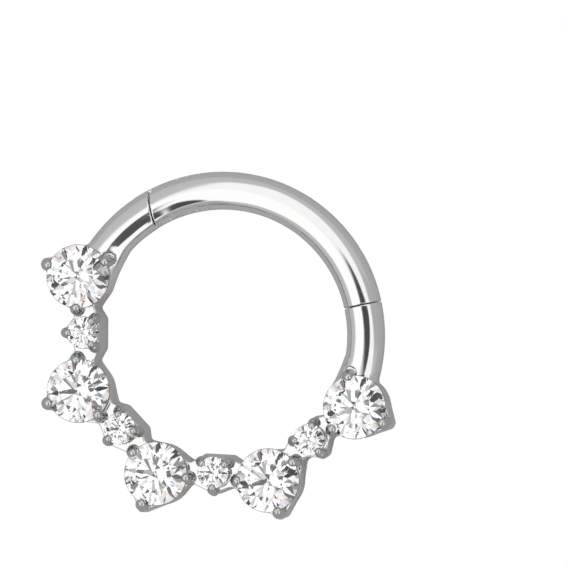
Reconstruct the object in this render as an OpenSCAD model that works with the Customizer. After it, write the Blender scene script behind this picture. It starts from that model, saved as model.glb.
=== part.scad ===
// Hinged ring of round wire with a stone-set gallery along its lower half.
// The ring lies on its back: X runs to the right, Y from the gallery to the bar, Z up through the stones.
// The origin is the centre of the ring on the surface that it rests on.

/* [Ring] */
// Diameter of the round wire
wire_d = 1.2; // [1.1:0.05:1.3]
// Clear inner diameter of the wire ring
inner_d = 8; // [7.9:0.1:8.4]

/* [Stones] */
// Diameter of the five large stones
large_d = 2.04; // [1.9:0.02:2.06]
// Diameter of the four small stones
small_d = 1.02; // [0.94:0.02:1.04]
// Angle between neighbouring large stones
large_pitch = 43.2; // [42.9:0.1:43.6]
// How far each small stone sits past the middle of its gap, away from the centre stone
small_lag = 0.4; // [0:0.1:0.6]
// Height of the stones' girdles over the back of the ring
girdle_h = 1.33; // [1.28:0.01:1.42]
// Width of a stone's flat table, as a share of its diameter
table_share = 0.56; // [0.52:0.01:0.62]
// Slope of the stones' main crown facets
crown_slope = 34.5; // [32:0.5:36]
// Slope of the stones' main pavilion facets
pavilion_slope = 40.8; // [40:0.1:42]

/* [Gallery] */
// Height of the flat bridges between the settings
bridge_h = 1.02; // [0.92:0.02:1.08]
// Height of the collars under the stones
collar_h = 1.22; // [1.14:0.01:1.24]
// How far a large collar's wall stays inside its stone's girdle
collar_inset = 0.055; // [0.03:0.005:0.08]
// Thickness of the beads on the large stones' prongs
large_bead_d = 0.4; // [0.34:0.01:0.42]
// Thickness of the beads on the small stones' prongs
small_bead_d = 0.32; // [0.28:0.01:0.34]
// Gap between each stone and its metal
stone_gap = 0.015; // [0.01:0.005:0.03]

/* [Hinge and catch] */
// Direction of the hinge seam from the ring's centre, from +X
hinge_at = 144.2; // [142:0.1:146]
// Direction of the catch seam from the ring's centre, from +X
catch_at = 37.2; // [35:0.1:40]
// Width of both seams
seam_gap = 0.03; // [0.02:0.005:0.05]
// Slant of the hinge seam, whose outer end leans towards the bar
seam_slant = 17; // [15:0.5:19]
// Distance along the wire from the hinge seam to the pivot
pivot_back = 0.95; // [0.9:0.01:1.0]
// Diameter of the hinge pin
pin_d = 0.4; // [0.34:0.02:0.44]
// Thickness of the knuckle's tongue
tongue_t = 0.36; // [0.3:0.02:0.4]
// Gap on each side of the tongue and round the pin
hinge_play = 0.03; // [0.02:0.005:0.05]
// Radius of the ball that clicks into the catch
nub_r = 0.28; // [0.24:0.01:0.3]

/* [Hidden] */

wire_r = wire_d / 2;
ring_r = inner_d / 2 + wire_r;
large_r = large_d / 2;
small_r = small_d / 2;
wire_lift = 0.02;       // the gallery's flat back stands this far below the wire
past = 1;               // margin by which a cutting shape passes the metal
round_fn = 64;

// The stones stand on arcs about a point just above the ring's centre.
arch_y = 0.096;
large_arc = ring_r + 0.313;
small_arc = ring_r - 0.18;

girdle_t = 0.02;        // thickness of a stone's edge
large_hole_r = 0.6;     // open back behind a large stone
small_hole_r = 0.26;    // open back behind a small stone

// The outline of the gallery is a belt round these circles.
large_collar_r = large_r - collar_inset;
small_collar_r = small_r - 0.03;
belt_inset = 0.02;      // the belt stays this far inside the large collars
collar_shift = 0.02;    // the collars sit this far towards the ring's centre
centre_tip = 1.32;      // reach of the centre setting's point from its stone
side_tip = 1.22;        // reach of the other large settings' points
centre_tip_r = 0.12;    // rounding of the centre setting's point
side_tip_r = 0.2;
end_tip_r = 0.22;
small_tip = 0.66;       // reach of the small settings' points
small_tip_r = 0.24;
inner_corner_r = 0.2;   // rounding of the small settings' inner corners
corner_in = 0.4;        // place of such a corner, inward from its stone and to the side
corner_side = 0.42;
corner_in_lean = 1.3;   // share of the inner wall's lean that moves the corner each way
corner_side_lean = 0.2;
inner_waist_r = 0.13;   // rounding of the waists on the ring's inner side
outer_waist_r = 0.2;    // rounding of the waists on the outer side
// Waists of the right half from the centre on: distance outside the wire's middle line, angle
outer_waists = [[0.26, 13.9], [0.3, 28.4], [0.17, 59], [0.2, 71.6]];
inner_waists = [[-0.49, 10.2], [-0.54, 33.4], [-0.5, 52.9], [-0.51, 77]];
inner_draft = 0.1;      // the inner wall leans out by this much from back to bridge
belt_steps = 6;

// The prongs stand on these places, u outward from the stone and v along the arc.
large_prong_reach = 1.05;
side_prong_reach = 1.02;
stem_share = 0.92;      // thickness of a prong below its bead, as a share of the bead's
side_prong_turn = 108;  // turn of the side prongs from outward
end_prong_turn = 130;   // turn of the end settings' prongs that stand by the wire
small_prong_reach = 0.54;
inner_prong_reach = 0.48;
inner_prong_turn = 127;
tip_lean = 0.03;        // a tip prong's bead stands this far further out than its stem
small_tip_lean = 1.5 * tip_lean;
bead_lift = 0.03;       // the beads' centres stand this far over the girdle

// The wire's pieces start out longer than their seams by these angles.
stub_run = 4;           // inside the end settings
tongue_run = 15;        // past the pivot
tail_run = 4;           // past the hinge seam
catch_run = 1;          // past the catch seam
tongue_reach = 1;       // radius of the tongue about the pivot
slot_reach = 1.03;      // radius of the bar's slot about the pivot
pin_seat_gap = 0.01;
pivot_turn = pivot_back / ring_r * 180 / PI;
pivot_at = hinge_at - pivot_turn;
// Seen from the pivot, the hinge seam is a line at this slant and distance.
seam_slant_here = seam_slant - pivot_turn;
seam_far = 2 * ring_r * sin(pivot_turn / 2) * cos(seam_slant - pivot_turn / 2);
nub_shift = 0.12;       // the ball sits this far to the ring's inner side
nub_sunk = 0.03;        // and this far past the seam, inside the bar
way_out_extra = 0.002;  // the way out of the pocket is wider than the pocket by this radius
pivot = ring_r * [cos(pivot_at), sin(pivot_at)];
nub_place = (ring_r - nub_shift) * [cos(catch_at), sin(catch_at)];
// The ball leaves its pocket at this turn from the wire's direction, towards the outside.
nub_turn = catch_at - atan2(nub_place[1] - pivot[1], nub_place[0] - pivot[0]);

function place(radius, angle) = [radius * sin(angle), arch_y - radius * cos(angle)];
function outward(angle) = [sin(angle), -cos(angle)];
function along(angle) = [cos(angle), sin(angle)];
function spot(radius, angle, u, v = 0) = place(radius, angle) + u * outward(angle) + v * along(angle);
function reach(radius, angle, turn, far) = spot(radius, angle, far * cos(turn), far * sin(turn));

function large_angle(i) = (i - 3) * large_pitch;
function small_angle(i) = (i - 2.5) * large_pitch + sign(i - 2.5) * small_lag;

// A pulley is [centre, radius], with a negative radius where the belt bends the other way.
function heading(a, b) = let (d = b[0] - a[0]) atan2(d[1], d[0]) - acos((a[1] - b[1]) / norm(d));
function wrap(a) = a - 360 * floor(a / 360);
function belt(pulleys) = [
    for (i = [0:len(pulleys) - 1])
        let (
            this = pulleys[i],
            before = pulleys[(i + len(pulleys) - 1) % len(pulleys)],
            after = pulleys[(i + 1) % len(pulleys)],
            from = heading(before, this),
            to = heading(this, after),
            sweep = this[1] > 0 ? wrap(to - from) : -wrap(from - to)
        )
        for (k = [0:belt_steps])
            let (a = from + sweep * k / belt_steps)
            this[0] + this[1] * [cos(a), sin(a)]
];
function mirrored(pulleys) = [
    for (i = [len(pulleys) - 1:-1:0]) [[-pulleys[i][0][0], pulleys[i][0][1]], pulleys[i][1]]
];
function without_first(list) = [for (i = [1:len(list) - 1]) list[i]];
function without_last(list) = [for (i = [0:len(list) - 2]) list[i]];

function collar(i) = [spot(large_arc, large_angle(i), -collar_shift), large_collar_r - belt_inset];
function tip(i, far, r) = [spot(large_arc, large_angle(i), far - r), r];
function small_point(i) = [spot(small_arc, small_angle(i), small_tip - small_tip_r), small_tip_r];
function outer_waist(i) =
    let (w = outer_waists[i])
    [place(ring_r + w[0] + outer_waist_r, w[1]), -outer_waist_r];
function inner_waist(i, lean) =
    let (w = inner_waists[i])
    [place(ring_r + w[0] + lean - inner_waist_r, w[1]), -inner_waist_r];
function inner_corner(i, side, lean) =
    let (u = -corner_in + corner_in_lean * lean, v = side * (corner_side + corner_side_lean * lean))
    [spot(small_arc, small_angle(i), u, v), inner_corner_r];

// The right half's pulleys from the centre tip outside, then back to the centre inside.
// Stones are numbered from the hinge side, so the centre stone is the third.
function outer_half() = [
    tip(3, centre_tip, centre_tip_r), collar(3),
    outer_waist(0), small_point(3), outer_waist(1),
    collar(4), tip(4, side_tip, side_tip_r), collar(4),
    outer_waist(2), small_point(4), outer_waist(3),
    collar(5), tip(5, side_tip, end_tip_r), collar(5)
];
function inner_half(lean) = [
    inner_waist(3, lean), inner_corner(4, 1, lean), inner_corner(4, -1, lean), inner_waist(2, lean),
    collar(4),
    inner_waist(1, lean), inner_corner(3, 1, lean), inner_corner(3, -1, lean), inner_waist(0, lean),
    collar(3)
];
function gallery_outline(lean) = belt(concat(
    outer_half(),
    inner_half(lean),
    mirrored(without_last(inner_half(lean))),
    mirrored(without_first(outer_half()))
));

// A solid between two outlines of equally many points, h apart.
module drafted(low, high, h) {
    n = len(low);
    resize([0, 0, h])
        polyhedron(
            points = concat([for (p = low) [p[0], p[1], 0]], [for (p = high) [p[0], p[1], 1]]),
            faces = concat(
                [[for (i = [0:n - 1]) i]],
                [[for (i = [n - 1:-1:0]) n + i]],
                [for (i = [0:n - 1]) [i, n + i, (i + 1) % n]],
                [for (i = [0:n - 1]) [(i + 1) % n, n + i, n + (i + 1) % n]]
            )
        );
}

// Carries its children to a direction on the wire: x outward, y along the wire, z up.
module on_wire(angle) {
    rotate([0, 0, angle]) translate([ring_r, 0, wire_lift + wire_r]) children();
}

module wire(from, to) {
    translate([0, 0, wire_lift + wire_r])
        rotate([0, 0, from])
            rotate_extrude(angle = to - from, $fn = 2 * round_fn)
                translate([ring_r, 0]) circle(r = wire_r, $fn = round_fn);
}

// The side of a seam that lies towards increasing angle, as a block that starts h from the seam.
module beyond_seam(angle, slant, h) {
    on_wire(angle)
        rotate([0, 0, -slant])
            translate([-past, h, -past]) cube([2 * past, 4 * past, 2 * past]);
}

module before_seam(angle, slant, h) {
    on_wire(angle)
        rotate([0, 0, -slant])
            translate([-past, -4 * past - h, -past]) cube([2 * past, 4 * past, 2 * past]);
}

// A prong's upright stem and its bead, given their places in the plan.
module prong(stem, bead, bead_d) {
    bead_h = girdle_h + bead_lift;
    foot_h = bridge_h / 2;
    translate([stem[0], stem[1], foot_h])
        cylinder(h = bead_h - foot_h, d = stem_share * bead_d, $fn = round_fn / 2);
    translate([bead[0], bead[1], bead_h]) sphere(d = bead_d, $fn = round_fn / 2);
}

module large_prongs(i) {
    a = large_angle(i);
    tip_stem = reach(large_arc, a, 0, large_prong_reach - tip_lean);
    tip_bead = reach(large_arc, a, 0, large_prong_reach);
    prong(tip_stem, tip_bead, large_bead_d);
    for (side = [-1, 1]) {
        by_wire = (i == 1 && side < 0) || (i == 5 && side > 0);
        turn = side * (by_wire ? end_prong_turn : side_prong_turn);
        at = reach(large_arc, a, turn, side_prong_reach);
        prong(at, at, large_bead_d);
    }
}

module small_prongs(i) {
    a = small_angle(i);
    tip_stem = reach(small_arc, a, 0, small_prong_reach - small_tip_lean);
    tip_bead = reach(small_arc, a, 0, small_prong_reach);
    prong(tip_stem, tip_bead, small_bead_d);
    for (turn = [-inner_prong_turn, inner_prong_turn]) {
        at = reach(small_arc, a, turn, inner_prong_reach);
        prong(at, at, small_bead_d);
    }
}

// The space of a stone with its gap and the open hole behind it.
module seat(r, hole_r) {
    out = r + stone_gap;
    low = girdle_h - girdle_t / 2;
    high = girdle_h + girdle_t / 2;
    table_r = r * table_share + stone_gap;
    rotate_extrude($fn = round_fn)
        polygon([
            [0, -past],
            [hole_r, -past],
            [hole_r, low - (out - hole_r) * tan(pavilion_slope)],
            [out, low],
            [out, high],
            [table_r, high + (out - table_r) * tan(crown_slope)],
            [table_r, girdle_h + past],
            [0, girdle_h + past]
        ]);
}

module tongue() {
    on_wire(pivot_at) {
        translate([0, 0, -tongue_t / 2]) cylinder(h = tongue_t, r = tongue_reach, $fn = round_fn);
        translate([-past, 0, -tongue_t / 2]) cube([2 * past, pivot_back + past / 2, tongue_t]);
    }
}

// The space of the ball and of the way that it takes out of the stub.
module catch_pocket() {
    r = nub_r + seam_gap;
    on_wire(catch_at)
        translate([-nub_shift, nub_sunk, 0])
            rotate([-90, 0, -nub_turn]) {
                sphere(r = r, $fn = round_fn);
                cylinder(h = past, r = r + way_out_extra, $fn = round_fn);
            }
}

module gallery_frame() color("gainsboro")
    difference() {
        union() {
            drafted(gallery_outline(0), gallery_outline(inner_draft), bridge_h);
            for (i = [1:5]) {
                translate(collar(i)[0]) cylinder(h = collar_h, r = large_collar_r, $fn = round_fn);
                large_prongs(i);
            }
            for (i = [1:4]) {
                translate(place(small_arc, small_angle(i)))
                    cylinder(h = collar_h, r = small_collar_r, $fn = round_fn);
                small_prongs(i);
            }
            difference() {
                wire(pivot_at - tongue_run, 180 + stub_run);
                difference() {
                    before_seam(hinge_at, seam_slant, -seam_gap / 2);
                    tongue();
                }
            }
            difference() {
                wire(-stub_run, catch_at + catch_run);
                beyond_seam(catch_at, 0, -seam_gap / 2);
            }
        }
        for (i = [1:5]) translate(place(large_arc, large_angle(i))) seat(large_r, large_hole_r);
        for (i = [1:4]) translate(place(small_arc, small_angle(i))) seat(small_r, small_hole_r);
        on_wire(pivot_at) cylinder(h = 4 * past, r = pin_d / 2 + hinge_play, center = true, $fn = round_fn);
        catch_pocket();
    }

// What is taken off the outer corner of the bar's tail, so that it turns past the seam.
module tail_corner() {
    rotate([0, 0, -seam_slant_here])
        difference() {
            translate([0, 0, -past]) cube(2 * past);
            cylinder(h = 4 * past, r = seam_far - seam_gap / 2, center = true, $fn = 2 * round_fn);
        }
}

module hinge_bar() color("silver") {
    difference() {
        wire(catch_at - catch_run, hinge_at + tail_run);
        before_seam(catch_at, 0, -seam_gap / 2);
        beyond_seam(hinge_at, seam_slant, -seam_gap / 2);
        on_wire(pivot_at) {
            translate([0, 0, -tongue_t / 2 - hinge_play]) {
                cylinder(h = tongue_t + 2 * hinge_play, r = slot_reach, $fn = round_fn);
                translate([-past, 0, 0]) cube([2 * past, 2 * past, tongue_t + 2 * hinge_play]);
            }
            cylinder(h = 4 * past, r = pin_d / 2 + pin_seat_gap, center = true, $fn = round_fn);
            tail_corner();
        }
    }
    on_wire(catch_at) translate([-nub_shift, nub_sunk, 0]) sphere(r = nub_r, $fn = round_fn);
}

module hinge_pin() color("darkgray")
    intersection() {
        wire(pivot_at - 5, pivot_at + 5);
        on_wire(pivot_at) cylinder(h = 4 * past, r = pin_d / 2, center = true, $fn = round_fn);
    }

// Round brilliant of radius 1 about its girdle: eight main facets above and below, with their break facets.
function ring_of(n, r, z, turn = 0) = [
    for (k = [0:n - 1])
        let (a = 360 / n * k + turn)
        [r * cos(a), r * sin(a), z]
];
function crown_z(r) = (1 - r * cos(22.5)) * tan(crown_slope);
function pavilion_z(r) = -(1 - r * cos(22.5)) * tan(pavilion_slope);

star_r = 0.76;          // where the star facets' points lie
lower_r = 0.24;         // where the lower break facets' points lie
edge_r = 1.03;          // the facets run out to here and the round edge cuts them back

module brilliant(r) {
    t = girdle_t / r / 2;
    edge_up = t - (edge_r - 1) * tan(crown_slope);
    edge_down = -t + (edge_r - 1) * tan(pavilion_slope);
    points = concat(
        ring_of(8, table_share, t + (1 - table_share) * tan(crown_slope)),
        ring_of(8, star_r, t + crown_z(star_r), 22.5),
        ring_of(16, edge_r, edge_up),
        ring_of(16, edge_r, min(edge_down, edge_up - 0.001)),
        ring_of(8, lower_r, -t + pavilion_z(lower_r), 22.5),
        [[0, 0, -t - tan(pavilion_slope)]]
    );
    faces = concat(
        [[for (k = [7:-1:0]) k]],
        [
            for (k = [0:7])
                let (n = (k + 1) % 8, p = (k + 7) % 8)
                let (e = 16 + 2 * k, e1 = e + 1, e2 = 16 + (2 * k + 2) % 16)
                each [[k, n, 8 + k], [k, 8 + k, e], [k, e, 8 + p], [8 + k, e1, e], [8 + k, e2, e1]]
        ],
        [for (k = [0:15]) let (n = (k + 1) % 16) [16 + k, 16 + n, 32 + n, 32 + k]],
        [
            for (k = [0:7])
                let (p = (k + 7) % 8, e = 32 + 2 * k, e1 = e + 1, e2 = 32 + (2 * k + 2) % 16)
                each [[48 + k, e, e1], [48 + k, e1, e2], [56, e, 48 + k], [56, 48 + p, e]]
        ]
    );
    translate([0, 0, girdle_h])
        intersection() {
            scale(r) polyhedron(points = points, faces = faces);
            cylinder(h = 4 * r, r = r, center = true, $fn = round_fn);
        }
}

module large_stone(i) color("white") translate(place(large_arc, large_angle(i))) brilliant(large_r);

module small_stone(i) color("white") translate(place(small_arc, small_angle(i))) brilliant(small_r);

gallery_frame();
hinge_bar();
hinge_pin();
for (i = [1:5]) large_stone(i);
for (i = [1:4]) small_stone(i);
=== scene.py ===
from math import acos, atan2, cos, degrees, hypot, pi, radians, sin, tan

import bmesh
import bpy
import numpy as np
from mathutils import Matrix, Vector


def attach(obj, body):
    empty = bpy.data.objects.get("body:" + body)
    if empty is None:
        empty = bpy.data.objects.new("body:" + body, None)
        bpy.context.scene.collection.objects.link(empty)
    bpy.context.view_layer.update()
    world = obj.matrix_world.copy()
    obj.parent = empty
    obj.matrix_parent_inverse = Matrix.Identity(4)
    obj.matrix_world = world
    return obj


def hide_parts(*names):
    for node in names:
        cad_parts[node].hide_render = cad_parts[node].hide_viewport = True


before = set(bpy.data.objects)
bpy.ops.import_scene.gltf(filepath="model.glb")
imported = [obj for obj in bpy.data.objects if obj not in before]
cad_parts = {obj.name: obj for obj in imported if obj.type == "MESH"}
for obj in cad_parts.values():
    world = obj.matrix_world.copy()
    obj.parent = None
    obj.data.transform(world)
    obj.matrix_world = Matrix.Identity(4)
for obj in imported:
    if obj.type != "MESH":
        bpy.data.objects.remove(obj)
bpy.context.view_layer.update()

# Sizes are in millimetres, as in the part's own source, and the meshes are scaled to metres at the end.
MM = 0.001

# The round wire and the ring that it makes
WIRE_R = 0.6
RING_R = 4.6
WIRE_Z = WIRE_R + 0.02

# The stones, their girdles and the arcs that they stand on
LARGE_R = 1.02
SMALL_R = 0.51
GIRDLE_Z = 1.33
GIRDLE_HALF = 0.01
STONE_GAP = 0.015
TABLE_SHARE = 0.56
CROWN_SLOPE = radians(34.5)
PAVILION_SLOPE = radians(40.8)
ARCH_Y = 0.096
LARGE_ARC = RING_R + 0.313
SMALL_ARC = RING_R - 0.18
LARGE_PITCH = 43.2
SMALL_LAG = 0.4
LARGE_ANGLES = [k * LARGE_PITCH for k in (-2, -1, 0, 1, 2)]
SMALL_ANGLES = [k * LARGE_PITCH + (SMALL_LAG if k > 0 else -SMALL_LAG) for k in (-1.5, -0.5, 0.5, 1.5)]

# The turn of each stone about its own axis
LARGE_TURNS = [8, 31, 17, 40, 3]
SMALL_TURNS = [12, 35, 22, 5]

# The gallery
BRIDGE_Z = 1.02
COLLAR_Z = 1.22
LARGE_COLLAR_R = LARGE_R - 0.055
SMALL_COLLAR_R = SMALL_R - 0.03
SMALL_COLLAR_FOOT = 0.5
COLLAR_SHIFT = 0.02
LARGE_HOLE_R = 0.6
SMALL_HOLE_R = 0.26
INNER_DRAFT = 0.1

# Collars and seats change the metal only this far round a stone's centre
LARGE_NEAR = 1.4
SMALL_NEAR = 0.9

# The outline's points and inner corners: how far they stand from their stones, and their rounding
CENTRE_TIP = 1.32
CENTRE_TIP_R = 0.12
SIDE_TIP = 1.22
SIDE_TIP_R = 0.2
END_TIP_R = 0.22
SMALL_TIP = 0.66
SMALL_TIP_R = 0.24
CORNER_R = 0.2
CORNER_IN = 0.4
CORNER_SIDE = 0.42

# Shares of the inner wall's lean that move a corner inward and to the side
CORNER_IN_LEAN = 1.3
CORNER_SIDE_LEAN = 0.2

# The outline's waists on the right half from the centre on: distance outside the wire's middle line, angle
OUTER_WAIST_R = 0.2
INNER_WAIST_R = 0.13
OUTER_WAISTS = [(0.26, 13.9), (0.3, 28.4), (0.17, 59), (0.2, 71.6)]
INNER_WAISTS = [(-0.49, 10.2), (-0.54, 33.4), (-0.5, 52.9), (-0.51, 77)]

# The wire's stubs run into the end settings down to here, fuller on their inner side
STUB_END_Y = -0.3
GUSSET_R = 0.5
GUSSET_X = 4.36
GUSSET_Y = (-0.15, 0.95)
GUSSET_BLEND = 0.12

# The crease in the wire beside each end setting's inner claw
GROOVE_R = 0.215
GROOVE_SHIFT = 0.06
GROOVE_Z = 1.0

# Claws: their thickness, and the heights of the buried foot, the shoulder and the domed point
LARGE_CLAW_R = 0.2
SMALL_CLAW_R = 0.16
CLAW_FOOT_Z = 0.94
CLAW_SHOULDER_Z = 1.24
CLAW_POINT_Z = 1.4

# The shoulder stands this share of the way from foot to point, and the point keeps a share of the radius
SHOULDER_LEAN = 0.4
SHOULDER_BLEND = 0.03
CLAW_POINT_SHARE = 0.74

# Claws round a stone: turn from outward, and how far the foot and the point stand from the stone's centre
LARGE_TIP_CLAW = (0, 1.1, 1.03)
LARGE_SIDE_CLAW = (108, 1.05, 0.98)
WIRE_SIDE_CLAW = (130, 1.05, 0.98)
SMALL_TIP_CLAW = (0, 0.6, 0.48)
SMALL_SIDE_CLAW = (127, 0.58, 0.45)

# The fillet round a claw's foot: how far it reaches, and how deep its end is sunk in the wall
SKIRT = 0.08
SKIRT_SUNK = 0.002
WIRE_CLAW_BLEND = 0.01

# The seams of the hinge and the catch: their directions from +X, their width and the hinge seam's slant
HINGE_AT = 144.2
CATCH_AT = 37.2
SEAM_GAP = 0.03
SEAM_SLANT = 17.0

# The pivot, back along the bar from the hinge seam
PIVOT_BACK = 0.95
PIVOT_TURN = degrees(PIVOT_BACK / RING_R)
PIVOT_AT = HINGE_AT - PIVOT_TURN

# The pin, the tongue and the bar's slot: the tongue is a disc with a neck that runs into the stub
PIN_R = 0.2
PLAY = 0.015
TONGUE_T = 0.39
TONGUE_REACH = 1.012
NECK_PAST_SEAM = 0.5
NECK_HALF_W = 1
KNUCKLE_LENGTH = 2
SLOT_REACH = 1.02

# The catch's ball, which sits towards the ring's inner side and a little sunk in the bar
NUB_R = 0.28
NUB_SHIFT = 0.12
NUB_SUNK = 0.03
NUB_BLEND = 0.02

# Seen from the pivot: the hinge seam's slant, and the radius that the bar's tail stays within
SLANT_HERE = SEAM_SLANT - PIVOT_TURN
SEAM_FAR = 2 * RING_R * sin(radians(PIVOT_TURN / 2)) * cos(radians(SEAM_SLANT - PIVOT_TURN / 2))
TAIL_R = SEAM_FAR - SEAM_GAP / 2

# How far the polishing has rounded the edges, and the fillets between the cast forms
CAST_EDGE = 0.045
RIM_EDGE = 0.03
SEAM_EDGE = 0.025
SEAT_EDGE = 0.01
SLOT_EDGE = 0.008
CAST_BLEND = 0.05
WIRE_BLEND = 0.22

# Grids that the metal's meshes are made on: steps, and the boxes round the gallery and the bar
GALLERY_STEP = 0.042
BAR_STEP = 0.034
CLAW_STEP = 0.02
GALLERY_LOW = (-6.35, -6.35, -0.1)
GALLERY_HIGH = (6.35, 4.6, 1.35)
BAR_LOW = (-4.6, 2.2, -0.1)
BAR_HIGH = (4.5, 5.4, 1.4)
CLAW_MARGIN = 0.06
BATCH = 400000

# How often a mesh's points are pulled onto the surface, and the least squared slope that a pull counts on
PULLS = 2
LEAST_SLOPE = 0.25


# Places in the plan
def place(radius, angle):
    """A place on the stones' arcs, by its angle from the gallery's middle."""
    a = radians(angle)
    return np.array([radius * sin(a), ARCH_Y - radius * cos(a)])


def spot(radius, angle, u, v=0.0):
    """The place u outward and v along the arc from a stone."""
    a = radians(angle)
    out = np.array([sin(a), -cos(a)])
    side = np.array([cos(a), sin(a)])
    return place(radius, angle) + u * out + v * side


def reach(radius, angle, turn, far):
    """The place at a distance from a stone, by its turn from outward."""
    return spot(radius, angle, far * cos(radians(turn)), far * sin(radians(turn)))


def ring_place(radius, angle, along=0.0):
    """A place by its radius and angle about the ring's centre, moved along the wire."""
    a = radians(angle)
    return radius * np.array([cos(a), sin(a)]) + along * np.array([-sin(a), cos(a)])


PIVOT = ring_place(RING_R, PIVOT_AT)
NUB_PLACE = ring_place(RING_R - NUB_SHIFT, CATCH_AT, NUB_SUNK)


# The gallery's outline is a belt round pulleys: centre and radius, negative where the belt bends back.
def collar(i):
    return [spot(LARGE_ARC, LARGE_ANGLES[i], -COLLAR_SHIFT), LARGE_COLLAR_R]


def large_point(i, far, r):
    return [spot(LARGE_ARC, LARGE_ANGLES[i], far - r), r]


def small_point(i):
    return [spot(SMALL_ARC, SMALL_ANGLES[i], SMALL_TIP - SMALL_TIP_R), SMALL_TIP_R]


def outer_waist(i):
    out, angle = OUTER_WAISTS[i]
    return [place(RING_R + out + OUTER_WAIST_R, angle), -OUTER_WAIST_R]


def inner_waist(i, lean):
    out, angle = INNER_WAISTS[i]
    return [place(RING_R + out + lean - INNER_WAIST_R, angle), -INNER_WAIST_R]


def inner_corner(i, side, lean):
    u = -CORNER_IN + CORNER_IN_LEAN * lean
    v = side * (CORNER_SIDE + CORNER_SIDE_LEAN * lean)
    return [spot(SMALL_ARC, SMALL_ANGLES[i], u, v), CORNER_R]


def outer_half():
    return [
        large_point(2, CENTRE_TIP, CENTRE_TIP_R), collar(2),
        outer_waist(0), small_point(2), outer_waist(1),
        collar(3), large_point(3, SIDE_TIP, SIDE_TIP_R), collar(3),
        outer_waist(2), small_point(3), outer_waist(3),
        collar(4), large_point(4, SIDE_TIP, END_TIP_R), collar(4),
    ]


def inner_half(lean):
    return [
        inner_waist(3, lean), inner_corner(3, 1, lean), inner_corner(3, -1, lean), inner_waist(2, lean),
        collar(3),
        inner_waist(1, lean), inner_corner(2, 1, lean), inner_corner(2, -1, lean), inner_waist(0, lean),
        collar(2),
    ]


def mirrored(pulleys):
    return [[np.array([-c[0], c[1]]), r] for c, r in reversed(pulleys)]


def outline(lean):
    """The belt's arcs and straight runs: rows of centre, radius, start, sweep and rows of two ends."""
    left_half = mirrored(inner_half(lean)[:-1]) + mirrored(outer_half()[1:])
    pulleys = outer_half() + inner_half(lean) + left_half

    def heading(a, b):
        d = b[0] - a[0]
        return atan2(d[1], d[0]) - acos((a[1] - b[1]) / hypot(*d))

    arcs, runs = [], []
    for i, (c, r) in enumerate(pulleys):
        before, after = pulleys[i - 1], pulleys[(i + 1) % len(pulleys)]
        start, end = heading(before, (c, r)), heading((c, r), after)
        sweep = (end - start) % (2 * pi) if r > 0 else -((start - end) % (2 * pi))
        arcs.append((c[0], c[1], r, start, sweep))
        aim = np.array([cos(end), sin(end)])
        runs.append((*(c + r * aim), *(after[0] + after[1] * aim)))
    return arcs, runs


BACK_OUTLINE = outline(0.0)
FRONT_OUTLINE = outline(INNER_DRAFT)


def outline_distance(xy, shape):
    """Signed distance to the belt, negative inside it."""
    arcs, runs = shape
    best = np.full(len(xy), np.inf)
    signed = np.full(len(xy), np.inf)
    for cx, cy, r, start, sweep in arcs:
        dx, dy = xy[:, 0] - cx, xy[:, 1] - cy
        low = min(start, start + sweep) + (pi if r < 0 else 0)
        on = (np.arctan2(dy, dx) - low) % (2 * pi) <= abs(sweep)
        d = np.hypot(dx, dy) - abs(r)
        closer = on & (np.abs(d) < best)
        best[closer] = np.abs(d[closer])
        signed[closer] = np.sign(r) * d[closer]
    for x0, y0, x1, y1 in runs:
        ex, ey = x1 - x0, y1 - y0
        length = hypot(ex, ey)
        dx, dy = xy[:, 0] - x0, xy[:, 1] - y0
        t = (dx * ex + dy * ey) / length**2
        d = (dx * ey - dy * ex) / length
        closer = (t >= 0) & (t <= 1) & (np.abs(d) < best)
        best[closer] = np.abs(d[closer])
        signed[closer] = d[closer]
    return signed


# Distance fields: negative inside the metal
def union(a, b, k=0.0):
    """Both, with a fillet of reach k."""
    if k <= 0:
        return np.minimum(a, b)
    h = np.clip(0.5 + 0.5 * (b - a) / k, 0, 1)
    return b * (1 - h) + a * h - k * h * (1 - h)


def common(a, b, edge=0.0):
    """Intersection with its edge rounded."""
    if edge <= 0:
        return np.maximum(a, b)
    return np.minimum(-edge, np.maximum(a, b)) + np.hypot(np.maximum(a + edge, 0), np.maximum(b + edge, 0))


def cut(a, b, edge=0.0):
    """a without b, with its edge rounded."""
    return common(a, -b, edge)


def slab(z, low, high):
    return np.abs(z - (low + high) / 2) - (high - low) / 2


def from_axis(p, xy):
    return np.hypot(p[:, 0] - xy[0], p[:, 1] - xy[1])


def ball(p, xy, z, r):
    return np.sqrt((p[:, 0] - xy[0]) ** 2 + (p[:, 1] - xy[1]) ** 2 + (p[:, 2] - z) ** 2) - r


def torus(p):
    return np.hypot(np.hypot(p[:, 0], p[:, 1]) - RING_R, p[:, 2] - WIRE_Z) - WIRE_R


def round_cone(p, a, b, ra, rb):
    """The hull of two balls."""
    a, b = np.array(a), np.array(b)
    ab = b - a
    l2 = ab @ ab
    rr = ra - rb
    a2 = l2 - rr * rr
    pa = p - a
    y = pa @ ab
    z = y - l2
    x2 = ((pa * l2 - y[:, None] * ab) ** 2).sum(1)
    y2 = y * y * l2
    z2 = z * z * l2
    k = np.sign(rr) * rr * rr * x2
    side = (np.sqrt(x2 * a2 / l2) + y * rr) / l2 - ra
    far_end = np.sqrt(x2 + z2) / l2 - rb
    near_end = np.sqrt(x2 + y2) / l2 - ra
    return np.where(np.sign(z) * a2 * z2 > k, far_end, np.where(np.sign(y) * a2 * y2 < k, near_end, side))


def on_wire(p, angle, slant=0.0):
    """Outward and along the wire from a place on it, turned back by a seam's slant."""
    a = radians(angle)
    x = p[:, 0] * cos(a) + p[:, 1] * sin(a) - RING_R
    y = p[:, 1] * cos(a) - p[:, 0] * sin(a)
    s = radians(slant)
    return x * cos(s) - y * sin(s), x * sin(s) + y * cos(s)


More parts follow.
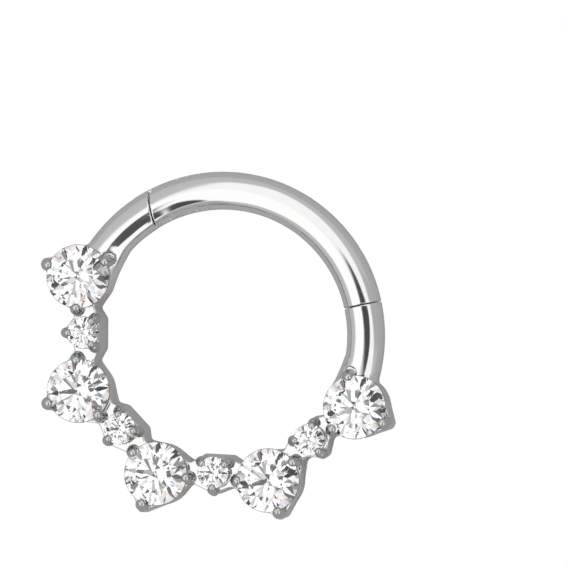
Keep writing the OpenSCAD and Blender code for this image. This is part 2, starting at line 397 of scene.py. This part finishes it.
def near(p, xy, far):
    """Which points are near a place in the plan."""
    return (np.abs(p[:, 0] - xy[0]) < far) & (np.abs(p[:, 1] - xy[1]) < far)


# Claws
def claw_places():
    """Each claw's foot and point in the plan, its radius and whether it stands by the wire."""
    def claw_place(arc, angle, side, shape, r, by_wire=False):
        turn, foot, point = shape
        return reach(arc, angle, side * turn, foot), reach(arc, angle, side * turn, point), r, by_wire

    last = len(LARGE_ANGLES) - 1
    for i, angle in enumerate(LARGE_ANGLES):
        yield claw_place(LARGE_ARC, angle, 1, LARGE_TIP_CLAW, LARGE_CLAW_R)
        for side in (-1, 1):
            by_wire = (i, side) in ((0, -1), (last, 1))
            shape = WIRE_SIDE_CLAW if by_wire else LARGE_SIDE_CLAW
            yield claw_place(LARGE_ARC, angle, side, shape, LARGE_CLAW_R, by_wire)
    for angle in SMALL_ANGLES:
        yield claw_place(SMALL_ARC, angle, 1, SMALL_TIP_CLAW, SMALL_CLAW_R)
        for side in (-1, 1):
            yield claw_place(SMALL_ARC, angle, side, SMALL_SIDE_CLAW, SMALL_CLAW_R)


def claw(p, foot, point, r):
    """A cast claw: its foot in the wall, its shoulder and the domed point over the stone's edge."""
    shoulder = (1 - SHOULDER_LEAN) * foot + SHOULDER_LEAN * point
    body = round_cone(p, (*foot, BRIDGE_Z - r), (*shoulder, CLAW_SHOULDER_Z), r, r)
    tip = round_cone(p, (*shoulder, CLAW_SHOULDER_Z), (*point, CLAW_POINT_Z), r, r * CLAW_POINT_SHARE)
    return union(body, tip, SHOULDER_BLEND)


def claw_field(foot, point, r, by_wire):
    """The field of one claw with the fillet at its foot, which runs out in the wall."""
    blend = WIRE_CLAW_BLEND if by_wire else CAST_BLEND

    def field(p):
        body = claw(p, foot, point, r)
        f = union(wall_field(p) + SKIRT_SUNK, body, blend)
        f = np.maximum(f, np.maximum(body - SKIRT, CLAW_FOOT_Z - p[:, 2]))
        return without_seats(f, p)
    return field


def claw_part(foot, point, r, by_wire):
    """One claw's field and the box that its mesh is made in."""
    far = r + SKIRT + CLAW_MARGIN
    low = (*(np.minimum(foot, point) - far), CLAW_FOOT_Z - SKIRT)
    high = (*(np.maximum(foot, point) + far), CLAW_POINT_Z + r)
    return claw_field(foot, point, r, by_wire), low, high, CLAW_STEP


# The front half
def gallery_walls(p):
    """The drafted walls, from the outline at the back and the one at the bridges."""
    columns, where = np.unique(np.round(p[:, :2], 6), axis=0, return_inverse=True)
    where = where.ravel()
    back = outline_distance(columns, BACK_OUTLINE)[where]
    front = outline_distance(columns, FRONT_OUTLINE)[where]
    t = np.clip(p[:, 2] / BRIDGE_Z, 0, 1)
    return back * (1 - t) + front * t


def pocket(p):
    """The ball's space in the stub and its way out."""
    arm = NUB_PLACE - PIVOT
    away = np.array([-arm[1], arm[0]]) / hypot(*arm)
    dx, dy = p[:, 0] - NUB_PLACE[0], p[:, 1] - NUB_PLACE[1]
    t = np.maximum(dx * away[0] + dy * away[1], 0)
    dx, dy = dx - t * away[0], dy - t * away[1]
    return np.sqrt(dx**2 + dy**2 + (p[:, 2] - WIRE_Z) ** 2) - NUB_R - SEAM_GAP


def stubs(p):
    """The two ends of the wire that the gallery carries, up to their seams."""
    wire = torus(p)
    for side in (-1, 1):
        ends = [(side * GUSSET_X, y, WIRE_Z) for y in GUSSET_Y]
        wire = union(wire, round_cone(p, *ends, GUSSET_R, GUSSET_R), GUSSET_BLEND)
    for foot, _, _, by_wire in claw_places():
        if by_wire:
            groove = from_axis(p, foot + (0, GROOVE_SHIFT)) - GROOVE_R
            wire = cut(wire, np.maximum(groove, GROOVE_Z - p[:, 2]), RIM_EDGE)
    past_end = STUB_END_Y - p[:, 1]
    _, hinge_y = on_wire(p, HINGE_AT, SEAM_SLANT)
    left = common(wire, SEAM_GAP / 2 - hinge_y, SEAM_EDGE)
    left = np.maximum(np.maximum(left, p[:, 0]), past_end)
    _, catch_y = on_wire(p, CATCH_AT)
    right = common(wire, catch_y + SEAM_GAP / 2, SEAM_EDGE)
    right = cut(right, pocket(p), RIM_EDGE)
    right = np.maximum(np.maximum(right, -p[:, 0]), past_end)
    return union(left, right)


def knuckle(p):
    """The tongue that turns in the bar's slot, with the pin's bore."""
    x, y = on_wire(p, PIVOT_AT)
    disc = np.hypot(x, y) - TONGUE_REACH
    neck = np.maximum(np.maximum(-y, y - PIVOT_BACK - NECK_PAST_SEAM), np.abs(x) - NECK_HALF_W)
    tongue = np.maximum(np.minimum(disc, neck), np.abs(p[:, 2] - WIRE_Z) - TONGUE_T / 2)
    _, hinge_y = on_wire(p, HINGE_AT, SEAM_SLANT)
    body = np.maximum(common(torus(p), tongue, SLOT_EDGE), -hinge_y - KNUCKLE_LENGTH)
    return cut(body, from_axis(p, PIVOT) - PIN_R - PLAY)


def add_collar(f, p, centre, r, low, far):
    """Joins a collar to the field near its own stone."""
    m = near(p, centre, far)
    wall = common(from_axis(p[m], centre) - r, slab(p[m, 2], low, COLLAR_Z), RIM_EDGE)
    f[m] = union(f[m], wall, CAST_BLEND)


def wall_field(p):
    """The front half's metal without its claws and the stones' seats."""
    z = p[:, 2]
    f = common(gallery_walls(p), slab(z, 0, BRIDGE_Z), CAST_EDGE)
    f = union(f, stubs(p), WIRE_BLEND)
    f = union(f, knuckle(p), RIM_EDGE)
    for angle in LARGE_ANGLES:
        add_collar(f, p, spot(LARGE_ARC, angle, -COLLAR_SHIFT), LARGE_COLLAR_R, 0, LARGE_NEAR)
    for angle in SMALL_ANGLES:
        add_collar(f, p, place(SMALL_ARC, angle), SMALL_COLLAR_R, SMALL_COLLAR_FOOT, SMALL_NEAR)
    return np.maximum(f, -z)


def seat(p, xy, r, hole_r):
    """The space of a stone with its gap and the open hole behind it."""
    rho, z = from_axis(p, xy), p[:, 2]
    out = r + STONE_GAP
    table_r = r * TABLE_SHARE + STONE_GAP
    below = (rho - out) * sin(PAVILION_SLOPE) - (z - GIRDLE_Z + GIRDLE_HALF) * cos(PAVILION_SLOPE)
    above = (rho - out) * sin(CROWN_SLOPE) + (z - GIRDLE_Z - GIRDLE_HALF) * cos(CROWN_SLOPE)
    stone = np.maximum(np.maximum(below, above), rho - out)
    over = np.maximum(rho - table_r, GIRDLE_Z - z)
    hole = np.maximum(rho - hole_r, z - GIRDLE_Z)
    return np.minimum(np.minimum(stone, over), hole)


def cut_seat(f, p, centre, r, hole_r, far):
    """Takes a stone's seat out of the field near that stone."""
    m = near(p, centre, far)
    f[m] = cut(f[m], seat(p[m], centre, r, hole_r), SEAT_EDGE)


def without_seats(f, p):
    for angle in LARGE_ANGLES:
        cut_seat(f, p, place(LARGE_ARC, angle), LARGE_R, LARGE_HOLE_R, LARGE_NEAR)
    for angle in SMALL_ANGLES:
        cut_seat(f, p, place(SMALL_ARC, angle), SMALL_R, SMALL_HOLE_R, SMALL_NEAR)
    return f


def gallery_field(p):
    return without_seats(wall_field(p), p)


# The bar with its pin and its ball
def bar_field(p):
    _, hinge_y = on_wire(p, HINGE_AT, SEAM_SLANT)
    _, catch_y = on_wire(p, CATCH_AT)
    f = common(torus(p), hinge_y + SEAM_GAP / 2, SEAM_EDGE)
    f = common(f, SEAM_GAP / 2 - catch_y, SEAM_EDGE)
    x, y = on_wire(p, PIVOT_AT, SLANT_HERE)
    corner = np.maximum(np.maximum(-x, -y), TAIL_R - np.hypot(x, y))
    f = cut(f, corner, RIM_EDGE)
    x, y = on_wire(p, PIVOT_AT)
    slot_end = np.minimum(np.hypot(x, y) - SLOT_REACH, -y)
    slot = np.maximum(np.abs(p[:, 2] - WIRE_Z) - TONGUE_T / 2 - PLAY, slot_end)
    f = cut(f, slot, SLOT_EDGE)
    pin = np.maximum(from_axis(p, PIVOT) - PIN_R, np.abs(p[:, 2] - WIRE_Z) - TONGUE_T)
    return union(union(f, pin), ball(p, NUB_PLACE, WIRE_Z, NUB_R), NUB_BLEND)


# Meshes of the fields
def lone_points(inside):
    """Grid points inside the metal whose six neighbours are all outside it."""
    padded = np.pad(inside, 1)
    company = np.zeros_like(inside)
    for axis in range(3):
        for shift in (-1, 1):
            company |= np.roll(padded, shift, axis)[1:-1, 1:-1, 1:-1]
    return inside & ~company


def sampled(field, low, high, step):
    """The field on a grid, without lone points inside."""
    counts = [int(np.ceil((h - l) / step)) + 1 for l, h in zip(low, high)]
    axes = [low[k] + step * np.arange(counts[k]) for k in range(3)]
    grid = np.stack(np.meshgrid(*axes, indexing="ij"), -1).reshape(-1, 3)
    batches = np.array_split(grid, 1 + len(grid) // BATCH)
    f = np.concatenate([field(batch) for batch in batches]).reshape(counts)
    f[lone_points(f < 0)] = step
    return f


def surface_cells(f):
    """The grid's cells that the surface passes through, and the mean place of its crossings in each."""
    inside = f < 0
    corners = [(i, j, k) for i in (0, 1) for j in (0, 1) for k in (0, 1)]
    total = sum(
        inside[tuple(slice(o, n - 1 + o) for o, n in zip(c, f.shape))].astype(np.int8) for c in corners)
    cells = np.argwhere((total > 0) & (total < 8))
    place_sum = np.zeros((len(cells), 3))
    crossings = np.zeros(len(cells))
    for c in corners:
        for axis in range(3):
            if c[axis]:
                continue
            d = list(c)
            d[axis] = 1
            fa = f[tuple((cells + c).T)]
            fb = f[tuple((cells + d).T)]
            crossed = (fa < 0) != (fb < 0)
            t = np.where(crossed, fa / np.where(crossed, fa - fb, 1), 0)
            at = np.tile(np.array(c, float), (len(cells), 1))
            at[:, axis] += t
            place_sum += at * crossed[:, None]
            crossings += crossed
    return cells, place_sum / crossings[:, None]


def surface_net(field, low, high, step):
    """Quads near the surface where the field changes sign, with vertices still to be pulled onto it."""
    f = sampled(field, low, high, step)
    cells, crossing_places = surface_cells(f)
    points = np.array(low) + step * (cells + crossing_places)
    index = np.full([n - 1 for n in f.shape], -1, np.int64)
    index[tuple(cells.T)] = np.arange(len(cells))
    inside = f < 0
    quads = []
    for axis in range(3):
        b, c = (axis + 1) % 3, (axis + 2) % 3
        first = [slice(None)] * 3
        second = [slice(None)] * 3
        first[axis], second[axis] = slice(0, -1), slice(1, None)
        edges = np.argwhere(inside[tuple(first)] != inside[tuple(second)])
        edges = edges[(edges[:, b] > 0) & (edges[:, c] > 0)
                      & (edges[:, b] < f.shape[b] - 1) & (edges[:, c] < f.shape[c] - 1)]
        leaving = inside[tuple(edges.T)]
        ring = []
        for ob, oc in ((-1, -1), (0, -1), (0, 0), (-1, 0)):
            at = edges.copy()
            at[:, b] += ob
            at[:, c] += oc
            ring.append(index[tuple(at.T)])
        ring = np.stack(ring, 1)
        ring[~leaving] = ring[~leaving][:, ::-1]
        quads.append(ring)
    return points, np.concatenate(quads)


def gradient(field, p, h=0.002):
    """The field's slope, from its values h to each side."""
    g = np.empty_like(p)
    for axis in range(3):
        d = np.zeros(3)
        d[axis] = h
        g[:, axis] = (field(p + d) - field(p - d)) / (2 * h)
    return g


def linked(name, mesh):
    """A new object of the scene with this mesh."""
    piece = bpy.data.objects.new(name, mesh)
    bpy.context.scene.collection.objects.link(piece)
    return piece


def sculpt(name, parts):
    """A mesh of the surfaces of some fields, with the fields' own normals."""
    all_points, all_quads, all_normals = [], [], []
    for field, low, high, step in parts:
        points, quads = surface_net(field, low, high, step)
        for _ in range(PULLS):
            g = gradient(field, points)
            pull = (field(points) / np.maximum((g**2).sum(1), LEAST_SLOPE))[:, None] * g
            points -= np.clip(pull, -step, step)
        g = gradient(field, points)
        all_quads.append(quads + sum(map(len, all_points)))
        all_points.append(points)
        all_normals.append(g / np.maximum(np.linalg.norm(g, axis=1), 1e-9)[:, None])
    points, quads, normals = (np.concatenate(rows) for rows in (all_points, all_quads, all_normals))
    mesh = bpy.data.meshes.new(name)
    mesh.from_pydata((points * MM).tolist(), [], quads.tolist())
    mesh.polygons.foreach_set("use_smooth", np.ones(len(quads), bool))
    mesh.normals_split_custom_set_from_vertices(normals.tolist())
    mesh.update()
    return linked(name, mesh)


# Round brilliants, each cut from a round blank by the planes of its facets, for a stone of radius 1.
# The facets end this far over and under the girdle's middle, and the girdle narrows upward.
FACET_EDGE = 0.022
GIRDLE_SLOPE = 0.022

# Main facets on each side, and where the points of the star and lower break facets lie
MAINS = 8
STAR_R = 0.76
LOWER_R = 0.24

# The blank, and the angle under which two faces count as one facet
BLANK_SIDES = 96
BLANK_HALF = 2
LEVEL_ANGLE = radians(0.1)


def polar(r, angle, z):
    return Vector((r * cos(radians(angle)), r * sin(radians(angle)), z))


def facet_planes():
    """Each facet's plane as a point and an outward normal."""
    t = FACET_EDGE
    turn = 360 / MAINS
    half = cos(radians(turn / 2))
    star_z = t + (1 - STAR_R * half) * tan(CROWN_SLOPE)
    table_z = t + (1 - TABLE_SHARE) * tan(CROWN_SLOPE)
    lower_z = -t - (1 - LOWER_R * half) * tan(PAVILION_SLOPE)
    yield polar(0, 0, table_z), Vector((0, 0, 1))
    for k in range(MAINS):
        a = turn * k
        m = a + turn / 2
        star = polar(STAR_R, m, star_z)
        yield polar(1, a, t), polar(sin(CROWN_SLOPE), a, cos(CROWN_SLOPE))
        yield polar(1, a, -t), polar(sin(PAVILION_SLOPE), a, -cos(PAVILION_SLOPE))
        triples = [(polar(TABLE_SHARE, a, table_z), polar(TABLE_SHARE, a + turn, table_z), star)]
        for g in (a, a + turn):
            triples.append((polar(1, g, t), polar(1, m, t), star))
            triples.append((polar(1, g, -t), polar(1, m, -t), polar(LOWER_R, m, lower_z)))
        for p, q, r in triples:
            n = (q - p).cross(r - p).normalized()
            yield p, n if n.dot(p + q + r) > 0 else -n


def brilliant(name, xy, r, turn):
    """A stone at its place and height, turned about its own axis."""
    bm = bmesh.new()
    rings = []
    top_r = 1 - GIRDLE_SLOPE
    for level, radius in ((-BLANK_HALF, 1), (-FACET_EDGE, 1), (FACET_EDGE, top_r), (BLANK_HALF, top_r)):
        rings.append([bm.verts.new(polar(radius, 360 * k / BLANK_SIDES, level)) for k in range(BLANK_SIDES)])
    for lower, upper in zip(rings, rings[1:]):
        for k in range(BLANK_SIDES):
            bm.faces.new((lower[k - 1], lower[k], upper[k], upper[k - 1]))
    bm.faces.new(rings[-1])
    bm.faces.new(rings[0][::-1])
    for at, normal in facet_planes():
        cut_made = bmesh.ops.bisect_plane(
            bm, geom=bm.verts[:] + bm.edges[:] + bm.faces[:], plane_co=at, plane_no=normal,
            dist=1e-6, clear_outer=True)
        rim = [e for e in cut_made["geom_cut"] if isinstance(e, bmesh.types.BMEdge) and e.is_boundary]
        if rim:
            bmesh.ops.contextual_create(bm, geom=rim)
    bmesh.ops.dissolve_limit(
        bm, angle_limit=LEVEL_ANGLE, verts=bm.verts[:], edges=bm.edges[:], delimit=set())
    bmesh.ops.recalc_face_normals(bm, faces=bm.faces[:])
    # Faces whose middle lies at the very edge are the girdle, and take the second material.
    for face in bm.faces:
        face.material_index = int(face.calc_center_median().xy.length > 1 - 2 * GIRDLE_SLOPE)
    spin = Matrix.Rotation(radians(turn), 4, "Z")
    move = Matrix.Translation(Vector((xy[0], xy[1], GIRDLE_Z)) * MM)
    bm.transform(move @ Matrix.Scale(r * MM, 4) @ spin)
    mesh = bpy.data.meshes.new(name)
    bm.to_mesh(mesh)
    bm.free()
    return linked(name, mesh)


# Materials
METAL_GREY = 0.79
# The claws take a darker copy of the same metal: painted shade for the darker look of the claws
CLAW_SHADE_GREY = 0.58
METAL_TINT = 0.005
STONE_INDEX = 2.16


def fresh_material(name):
    material = bpy.data.materials.new(name)
    material.use_nodes = True
    tree = material.node_tree
    tree.nodes.clear()
    return material, tree, tree.nodes.new("ShaderNodeOutputMaterial")


def polished_metal(name, grey):
    """Mirror-polished steel with fine wiping marks from the polishing wheel."""
    material, tree, out = fresh_material(name)
    shader = tree.nodes.new("ShaderNodeBsdfPrincipled")
    shader.inputs["Base Color"].default_value = (grey, grey, grey - METAL_TINT, 1)
    shader.inputs["Metallic"].default_value = 1.0
    place_node = tree.nodes.new("ShaderNodeTexCoord")
    marks = tree.nodes.new("ShaderNodeTexNoise")
    marks.inputs["Scale"].default_value = 9000
    marks.inputs["Detail"].default_value = 3
    level = tree.nodes.new("ShaderNodeMapRange")
    level.inputs["To Min"].default_value = 0.05
    level.inputs["To Max"].default_value = 0.11
    tree.links.new(place_node.outputs["Object"], marks.inputs["Vector"])
    tree.links.new(marks.outputs["Fac"], level.inputs["Value"])
    tree.links.new(level.outputs["Result"], shader.inputs["Roughness"])
    tree.links.new(shader.outputs["BSDF"], out.inputs["Surface"])
    return material


def clear_stone():
    """Cubic zirconia, clear and polished."""
    material, tree, out = fresh_material("clear_stone")
    shader = tree.nodes.new("ShaderNodeBsdfGlass")
    shader.inputs["IOR"].default_value = STONE_INDEX
    shader.inputs["Roughness"].default_value = 0.0
    shader.inputs["Color"].default_value = (1, 1, 1, 1)
    tree.links.new(shader.outputs["BSDF"], out.inputs["Surface"])
    return material


def frosted_girdle():
    """The stone's edge, ground and left unpolished."""
    material, tree, out = fresh_material("frosted_girdle")
    shader = tree.nodes.new("ShaderNodeBsdfPrincipled")
    shader.inputs["Base Color"].default_value = (0.27, 0.27, 0.28, 1)
    shader.inputs["Roughness"].default_value = 0.6
    tree.links.new(shader.outputs["BSDF"], out.inputs["Surface"])
    return material


def pale_floor():
    """White to the camera, and a light grey to the metal and the stones."""
    material, tree, out = fresh_material("pale_floor")
    seen = tree.nodes.new("ShaderNodeEmission")
    seen.inputs["Color"].default_value = (1, 1, 1, 1)
    lit = tree.nodes.new("ShaderNodeBsdfDiffuse")
    lit.inputs["Color"].default_value = (0.55, 0.55, 0.55, 1)
    path = tree.nodes.new("ShaderNodeLightPath")
    mix = tree.nodes.new("ShaderNodeMixShader")
    tree.links.new(path.outputs["Is Camera Ray"], mix.inputs["Fac"])
    tree.links.new(lit.outputs["BSDF"], mix.inputs[1])
    tree.links.new(seen.outputs["Emission"], mix.inputs[2])
    tree.links.new(mix.outputs["Shader"], out.inputs["Surface"])
    return material


# The sockets of a node that mixes colours: share, first colour, second colour and result
MIX_SHARE, MIX_FIRST, MIX_SECOND, MIX_RESULT = 0, 6, 7, 2


class Maths:
    """Short calls for a node tree's arithmetic."""

    def __init__(self, tree):
        self.tree = tree

    def do(self, operation, *values, clamp=False):
        node = self.tree.nodes.new("ShaderNodeMath")
        node.operation = operation
        node.use_clamp = clamp
        for socket, value in zip(node.inputs, values):
            if isinstance(value, (int, float)):
                socket.default_value = value
            else:
                self.tree.links.new(value, socket)
        return node.outputs[0]

    def card(self, x, y, corners, soft):
        """1 inside a convex outline on the map of directions, 0 outside it, with a soft edge."""
        mask = 1.0
        for (x0, y0), (x1, y1) in zip(corners, corners[1:] + corners[:1]):
            length = hypot(x1 - x0, y1 - y0)
            nx, ny = (y0 - y1) / length, (x1 - x0) / length
            inward = self.do("ADD", self.do("MULTIPLY", x, nx), self.do("MULTIPLY", y, ny))
            depth = self.do("SUBTRACT", inward, nx * x0 + ny * y0)
            mask = self.do("MULTIPLY", mask, self.do("ADD", self.do("DIVIDE", depth, soft), 0.5, clamp=True))
        return mask

    def ramp(self, angle, stops):
        """Brightness by an angle in degrees up to 180, from rows of angle and brightness."""
        node = self.tree.nodes.new("ShaderNodeValToRGB")
        self.tree.links.new(self.do("DIVIDE", angle, 180), node.inputs["Fac"])
        elements = node.color_ramp.elements
        for _ in stops[2:]:
            elements.new(0.5)
        for element, (at, value) in zip(elements, stops):
            element.position = at / 180
            element.color = (value, value, value, 1)
        return node.outputs["Color"]

    def over(self, under, top, mask):
        """under, covered where the mask is 1 by a colour or by what another socket gives."""
        node = self.tree.nodes.new("ShaderNodeMix")
        node.data_type = "RGBA"
        self.tree.links.new(mask, node.inputs[MIX_SHARE])
        self.tree.links.new(under, node.inputs[MIX_FIRST])
        if isinstance(top, tuple):
            node.inputs[MIX_SECOND].default_value = (*top, 1)
        else:
            self.tree.links.new(top, node.inputs[MIX_SECOND])
        return node.outputs[MIX_RESULT]


# The studio: grey walls all round, with two bright windows and some dark flags.
# The walls' brightness goes by degrees from straight up.
WALLS = [(0, 0.65), (60, 0.62), (80, 0.6), (95, 0.55), (112, 0.45), (180, 0.5)]

# Outlines on the map of directions, counter-clockwise in degrees from straight up towards X and Y.
# The four flags are dark cards, and each makes one of the dark patches on the wire.
BAR_FLAG = [(12, -26), (15, -40), (20, -58), (42, -53), (20, -30)]
SEAM_FLAG = [(17, -21), (17, -26), (43, -50), (53, -45)]
STUB_FLAG = [(2, -4), (0, -12), (42, -40), (50, -30), (42, -16)]
CATCH_FLAG = [(-5, -1), (28, 1), (32, 10), (28, 22), (4, 18)]
FRONT_WINDOW = [(-20, -10), (80, -30), (80, 5), (60, 20), (15, 60), (-15, 62), (-33, 40)]
BACK_WINDOW = [
    (-15, 5), (-38, 4), (-60, -14), (-38, -45), (-12, -66), (30, -70), (65, -58), (82, -30), (78, 0),
]
SIDE_WALL = [(45, 30), (70, 22), (90, 40), (60, 65), (35, 50)]
SKIRTING = [(-60, -60), (-20, -80), (25, -86), (25, -96), (-60, -75)]
BACK_WALL = [(15, -62), (15, -90), (60, -85), (75, -58), (50, -52)]

# What the metal mirrors: each card's brightness, the softness of its edge and its outline
CARDS = [
    (1.15, 8, FRONT_WINDOW),
    (1.25, 8, BACK_WINDOW),
    (0.5, 10, SIDE_WALL),
    (0.3, 8, SKIRTING),
    (0.45, 8, BACK_WALL),
    (0.08, 2.5, BAR_FLAG),
    (0.08, 2.5, SEAM_FLAG),
    (0.1, 3, STUB_FLAG),
    (0.08, 3.5, CATCH_FLAG),
]

# The stones gather one broad window, the faint colours of what stands about and the flags.
STONE_CEILING = [(-95, 60), (-95, -95), (95, -95), (95, 95), (-95, 95)]
STONE_WINDOW = [
    (-40, -50), (0, -65), (50, -50), (70, -20), (65, 15), (40, 40), (10, 58), (-25, 52), (-52, 20),
    (-55, -15),
]
COOL_CARD = [(-40, -20), (-30, -60), (15, -65), (0, -30)]
WARM_CARD = [(5, 30), (30, 20), (45, 40), (15, 60)]
STONE_SCREEN = [(-35, 8), (0, 22), (-5, 60), (-60, 50)]
FLAG_BLACK = (0.01, 0.01, 0.02)

# What the stones gather: each card's colour, the softness of its edge and its outline
STONE_CARDS = [
    ((0.6, 0.6, 0.61), 20, STONE_CEILING),
    ((1.35, 1.35, 1.35), 16, STONE_WINDOW),
    ((0.92, 0.98, 1.2), 16, COOL_CARD),
    ((0.98, 0.8, 0.73), 16, WARM_CARD),
    ((0.3, 0.3, 0.31), 12, STONE_SCREEN),
    ((0.15, 0.15, 0.16), 8, SEAM_FLAG),
    (FLAG_BLACK, 5, BAR_FLAG),
    (FLAG_BLACK, 5, STUB_FLAG),
    (FLAG_BLACK, 5, CATCH_FLAG),
]


def studio():
    """White to the camera, and walls with cards to the metal and the stones."""
    world = bpy.data.worlds.new("studio")
    bpy.context.scene.world = world
    world.use_nodes = True
    tree = world.node_tree
    tree.nodes.clear()
    maths = Maths(tree)
    way = tree.nodes.new("ShaderNodeTexCoord").outputs["Generated"]
    split = tree.nodes.new("ShaderNodeSeparateXYZ")
    tree.links.new(way, split.inputs[0])
    across, along, up = split.outputs
    flat = maths.do("SQRT", maths.do(
        "ADD", maths.do("MULTIPLY", across, across), maths.do("MULTIPLY", along, along)))
    theta = maths.do("MULTIPLY", maths.do("ARCCOSINE", up), 180 / pi)
    share = maths.do("DIVIDE", theta, maths.do("MAXIMUM", flat, 1e-4))
    x = maths.do("MULTIPLY", across, share)
    y = maths.do("MULTIPLY", along, share)
    walls = maths.ramp(theta, WALLS)
    on_metal = walls
    for grey, soft, corners in CARDS:
        on_metal = maths.over(on_metal, (grey, grey, grey), maths.card(x, y, corners, soft))
    in_stones = walls
    for colour, soft, corners in STONE_CARDS:
        in_stones = maths.over(in_stones, colour, maths.card(x, y, corners, soft))
    path = tree.nodes.new("ShaderNodeLightPath")
    light = maths.over(on_metal, in_stones, path.outputs["Is Transmission Ray"])
    seen = maths.over(light, (1, 1, 1), path.outputs["Is Camera Ray"])
    shader = tree.nodes.new("ShaderNodeBackground")
    tree.links.new(seen, shader.inputs["Color"])
    out = tree.nodes.new("ShaderNodeOutputWorld")
    tree.links.new(shader.outputs["Background"], out.inputs["Surface"])


# Half the floor's width, in metres
FLOOR_HALF = 0.5


def floor():
    h = FLOOR_HALF
    mesh = bpy.data.meshes.new("floor")
    mesh.from_pydata([(-h, -h, 0), (h, -h, 0), (h, h, 0), (-h, h, 0)], [], [(0, 1, 2, 3)])
    piece = linked("floor", mesh)
    mesh.materials.append(pale_floor())


# The camera's angles in degrees: off the ring's axis, the side that it stands to, from +X, and its roll
CAMERA_TILT = 10
CAMERA_SIDE = 22
CAMERA_ROLL = 25
CAMERA_FAR = 60

# The picture's width, and how far its middle lies to the right of the ring's centre and above it
VIEW_W = 17.977
AIM_RIGHT = 1.932
AIM_UP = 1.646


def camera():
    """A distant camera nearly over the ring, rolled so that the gallery is at the lower left."""
    side = Matrix.Rotation(radians(CAMERA_SIDE), 3, "Z")
    tilt = Matrix.Rotation(radians(CAMERA_TILT), 3, "Y")
    roll = Matrix.Rotation(radians(CAMERA_ROLL - CAMERA_SIDE), 3, "Z")
    turn = side @ tilt @ roll
    right, up, back = turn.transposed()
    data = bpy.data.cameras.new("camera")
    data.type = "ORTHO"
    data.ortho_scale = VIEW_W * MM
    data.clip_start = 0.001
    data.clip_end = 1
    piece = linked("camera", data)
    aim = Vector((0, 0, WIRE_Z)) + AIM_RIGHT * right + AIM_UP * up
    piece.matrix_world = Matrix.Translation((aim + CAMERA_FAR * back) * MM) @ turn.to_4x4()
    bpy.context.scene.camera = piece


def dress(piece, materials, body, slot, *nodes):
    """Gives a piece its materials, hangs it on the body that it rides on and hides the CAD parts that it
    stands for.
    """
    for material in materials:
        piece.data.materials.append(material)
    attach(piece, body)
    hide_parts(*nodes)


metal = [polished_metal("polished_metal", METAL_GREY)]
# The claws' metal is the same polished metal made darker, as painted shade
shaded_claw_metal = [polished_metal("shaded_claw_metal", CLAW_SHADE_GREY)]
stone = [clear_stone(), frosted_girdle()]
camera()
studio()
floor()

gallery = sculpt("gallery", [(gallery_field, GALLERY_LOW, GALLERY_HIGH, GALLERY_STEP)])
dress(gallery, metal, "frame", "polished_metal", "gallery_frame")
claws = sculpt("claws", [claw_part(*claw_place) for claw_place in claw_places()])
dress(claws, shaded_claw_metal, "frame", "polished_metal", "gallery_frame")
bar = sculpt("bar", [(bar_field, BAR_LOW, BAR_HIGH, BAR_STEP)])
dress(bar, metal, "bar", "polished_metal", "hinge_bar", "hinge_pin")

for i, (angle, turn) in enumerate(zip(LARGE_ANGLES, LARGE_TURNS), 1):
    piece = brilliant(f"large_brilliant_{i}", place(LARGE_ARC, angle), LARGE_R, turn)
    dress(piece, stone, "frame", "clear_stone", f"large_stone_{i}")
for i, (angle, turn) in enumerate(zip(SMALL_ANGLES, SMALL_TURNS), 1):
    piece = brilliant(f"small_brilliant_{i}", place(SMALL_ARC, angle), SMALL_R, turn)
    dress(piece, stone, "frame", "clear_stone", f"small_stone_{i}")

bpy.context.scene.view_settings.view_transform = "Standard"
